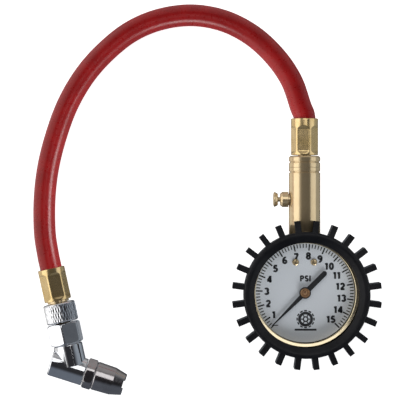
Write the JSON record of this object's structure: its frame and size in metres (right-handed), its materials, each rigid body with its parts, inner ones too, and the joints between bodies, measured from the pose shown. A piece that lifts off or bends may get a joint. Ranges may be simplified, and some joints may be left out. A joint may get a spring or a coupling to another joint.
{
  "type": "tire pressure gauge",
  "caption": "Low-pressure dial gauge in a toothed rubber boot, with a bleeder valve, a rubber hose and an angled swivel chuck.",
  "frame": {"origin": "centre of the boot's back face, on the dial's axis", "axes": "+Z out of the dial, +Y along the valve body towards the hose; the object lies on its back on the plane Z = 0"},
  "size_m": [0.175, 0.1979, 0.0276],
  "materials": {
    "boot_rubber": "matt moulded rubber",
    "seal_rubber": "matt rubber",
    "hose_rubber": "satin, smooth moulded rubber",
    "brass": "machined",
    "valve_brass": "satin, turned",
    "ferrule_brass": "bright, crimped",
    "bronze": "drawn tube",
    "steel": "plain",
    "chrome": "bright plated",
    "gunmetal": "dark, glossy plated",
    "lens_clear": "clear",
    "dial_paint": "pale silver-blue, satin",
    "pointer_paint": "matt black"
  },
  "bodies": {
    "gauge": {"rubber_boot": "boot_rubber", "gauge_case": "brass", "bezel_ring": "brass", "lens": "lens_clear", "lens_gasket": "seal_rubber", "dial_plate": "dial_paint", "dial_screw_left": "brass", "dial_screw_right": "brass", "case_screw_lower": "steel", "case_screw_upper": "steel", "socket_block": "brass", "stem_gasket": "seal_rubber", "movement_back_plate": "brass", "movement_front_plate": "brass", "movement_pillar_1": "brass", "movement_pillar_2": "brass", "movement_pillar_3": "brass", "zero_stop_pin": "steel", "hairspring": "bronze", "valve_body": "valve_brass", "body_end_cap": "valve_brass", "check_spring": "steel", "bleeder_boss": "valve_brass", "bleeder_spring": "steel", "hose_insert_gauge": "brass", "hose_ferrule_gauge": "ferrule_brass", "hose": "hose_rubber", "hose_insert_chuck": "brass", "hose_ferrule_chuck": "ferrule_brass", "swivel_oring": "seal_rubber"},
    "bourdon": {"bourdon_tube": "bronze", "tip_block": "brass"},
    "sector": {"sector_gear": "brass", "sector_arbor": "steel"},
    "link": {"drive_link": "brass"},
    "pointer_shaft": {"pointer": "pointer_paint", "pointer_hub": "brass", "center_pinion": "brass"},
    "bleeder": {"bleeder_button": "valve_brass", "bleeder_seal": "seal_rubber"},
    "check_valve": {"check_poppet": "seal_rubber"},
    "nut": {"swivel_nut": "chrome"},
    "chuck": {"chuck_hex": "chrome", "chuck_elbow": "chrome", "nose_cap": "gunmetal", "nose_seal": "seal_rubber", "depressor_pin": "steel"}
  },
  "joints": [
    {"name": "sector_swing", "type": "hinge", "parent": "gauge", "child": "sector", "pos_m": [-0.00849, -0.00849, 0.011], "axis": [0, 0, 1], "range_deg": [0, 39], "stiffness_Nm_per_rad": 0.0004},
    {"name": "pointer_spin", "type": "hinge", "parent": "gauge", "child": "pointer_shaft", "pos_m": [0, 0, 0.011], "axis": [0, 0, 1], "range_deg": [-274, 0]},
    {"name": "bourdon_flex", "type": "hinge", "parent": "gauge", "child": "bourdon", "pos_m": [0.005, 0.017, 0.0076], "axis": [0, 0, 1], "range_deg": [0, 3.8]},
    {"name": "link_swing", "type": "hinge", "parent": "sector", "child": "link", "pos_m": [-0.01066, -0.0095, 0.012], "axis": [0, 0, 1], "range_deg": [-40, 0]},
    {"name": "bleeder_press", "type": "slide", "parent": "gauge", "child": "bleeder", "axis": [1, 0, 0], "range_m": [0, 0.0008], "stiffness_N_per_m": 800, "springref_m": -0.0015, "deforming": ["bleeder_spring"]},
    {"name": "check_lift", "type": "slide", "parent": "gauge", "child": "check_valve", "axis": [0, -1, 0], "range_m": [0, 0.0015], "stiffness_N_per_m": 60, "springref_m": -0.002, "deforming": ["check_spring"]},
    {"name": "nut_turn", "type": "hinge", "parent": "gauge", "child": "nut", "pos_m": [-0.1281, 0.012, 0.00855], "axis": [0.2147, -0.9767, 0], "continuous": true},
    {"name": "chuck_swivel", "type": "hinge", "parent": "gauge", "child": "chuck", "pos_m": [-0.1281, 0.012, 0.00855], "axis": [0.2147, -0.9767, 0], "continuous": true}
  ],
  "couplings": [
    {"joint": "pointer_spin", "follows": "sector_swing", "ratio": -7},
    {"joint": "bourdon_flex", "follows": "sector_swing", "ratio": 0.095},
    {"joint": "link_swing", "follows": "sector_swing", "ratio": -1.0059}
  ]
}
